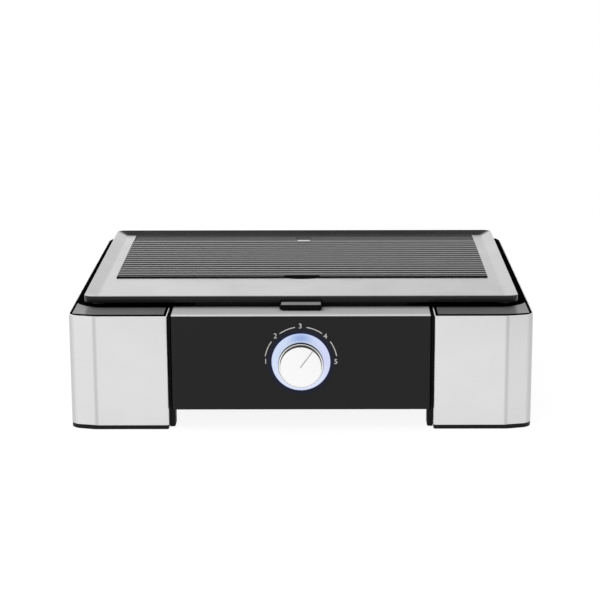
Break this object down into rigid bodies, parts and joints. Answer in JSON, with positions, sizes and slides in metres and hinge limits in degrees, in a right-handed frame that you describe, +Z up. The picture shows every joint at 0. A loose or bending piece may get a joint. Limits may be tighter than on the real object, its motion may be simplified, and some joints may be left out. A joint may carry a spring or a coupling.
{
  "type": "electric table grill",
  "caption": "Table-top electric grill: cast ribbed plate over a tube heater, steel-clad end blocks, lit control knob and a drip tray that slides out at the front.",
  "frame": {"origin": "on the table, at the underside of the rubber feet, under the centre of the grill's whole outline with the knob", "axes": "+X to the right seen from the front, +Y to the back, +Z up; the knob faces -Y"},
  "size_m": [0.48, 0.418, 0.1376],
  "materials": {
    "brushed_steel": "brushed sheet",
    "sheet_metal": "plain formed sheet",
    "frame_plastic": "moulded, heat resistant",
    "cap_plastic": "satin dark grey",
    "trim_plastic": "satin black",
    "gloss_black": "glossy black",
    "plate_coating": "dark non-stick coating on an aluminium casting",
    "tray_metal": "dark coated sheet",
    "rest_plastic": "heat resistant",
    "tube_metal": "oxidised sheath",
    "ceramic": "ceramic",
    "rubber": "soft black",
    "light_plastic": "translucent, lit from behind",
    "lamp_white": "lamp bodies",
    "board_green": "printed board",
    "knob_silver": "satin metal",
    "screw_steel": "plated",
    "copper": "bare copper",
    "brass": "bare brass",
    "wire_cover": "wire insulation",
    "knob_black": "satin black"
  },
  "bodies": {
    "base": {"centre_tub": "frame_plastic", "bottom_cover": "frame_plastic", "end_frame_left": "frame_plastic", "end_frame_right": "frame_plastic", "steel_shell_left": "brushed_steel", "steel_shell_right": "brushed_steel", "end_cap_left": "cap_plastic", "end_cap_right": "cap_plastic", "bottom_trim_left": "trim_plastic", "bottom_trim_right": "trim_plastic", "rubber_feet": "rubber", "front_panel": "gloss_black", "rear_panel": "gloss_black", "tray_shelf": "frame_plastic", "tray_guides": "sheet_metal", "reflector_pan": "sheet_metal", "heating_element": "tube_metal", "element_brackets": "sheet_metal", "element_bushes": "ceramic", "element_terminals": "ceramic", "plate_rests": "rest_plastic", "thermostat": "ceramic", "thermostat_screws": "screw_steel", "temperature_sensor": "copper", "thermal_fuse": "screw_steel", "light_ring": "light_plastic", "lamp_board": "board_green", "lamps": "lamp_white", "terminal_block": "ceramic", "internal_wiring": "wire_cover", "cord_gland": "trim_plastic", "gland_nut": "frame_plastic", "earth_lug": "brass", "cover_screws": "screw_steel", "trim_screws": "screw_steel", "pan_screws": "screw_steel"},
    "knob": {"control_shaft": "screw_steel", "control_knob": "knob_black", "knob_bezel": "knob_silver", "knob_face": "knob_silver"},
    "plate": {"grill_plate": "plate_coating"},
    "tray": {"drip_tray": "tray_metal", "tray_grip": "gloss_black"}
  },
  "joints": [
    {"name": "knob_turn", "type": "hinge", "parent": "base", "child": "knob", "pos_m": [0, -0.191, 0.0722], "axis": [0, 1, 0], "range_deg": [-171.5, 53.5]},
    {"name": "plate_lift", "type": "slide", "parent": "base", "child": "plate", "axis": [0, 0, 1], "range_m": [0, 0.05]},
    {"name": "tray_slide", "type": "slide", "parent": "base", "child": "tray", "axis": [0, -1, 0], "range_m": [0, 0.18]}
  ]
}
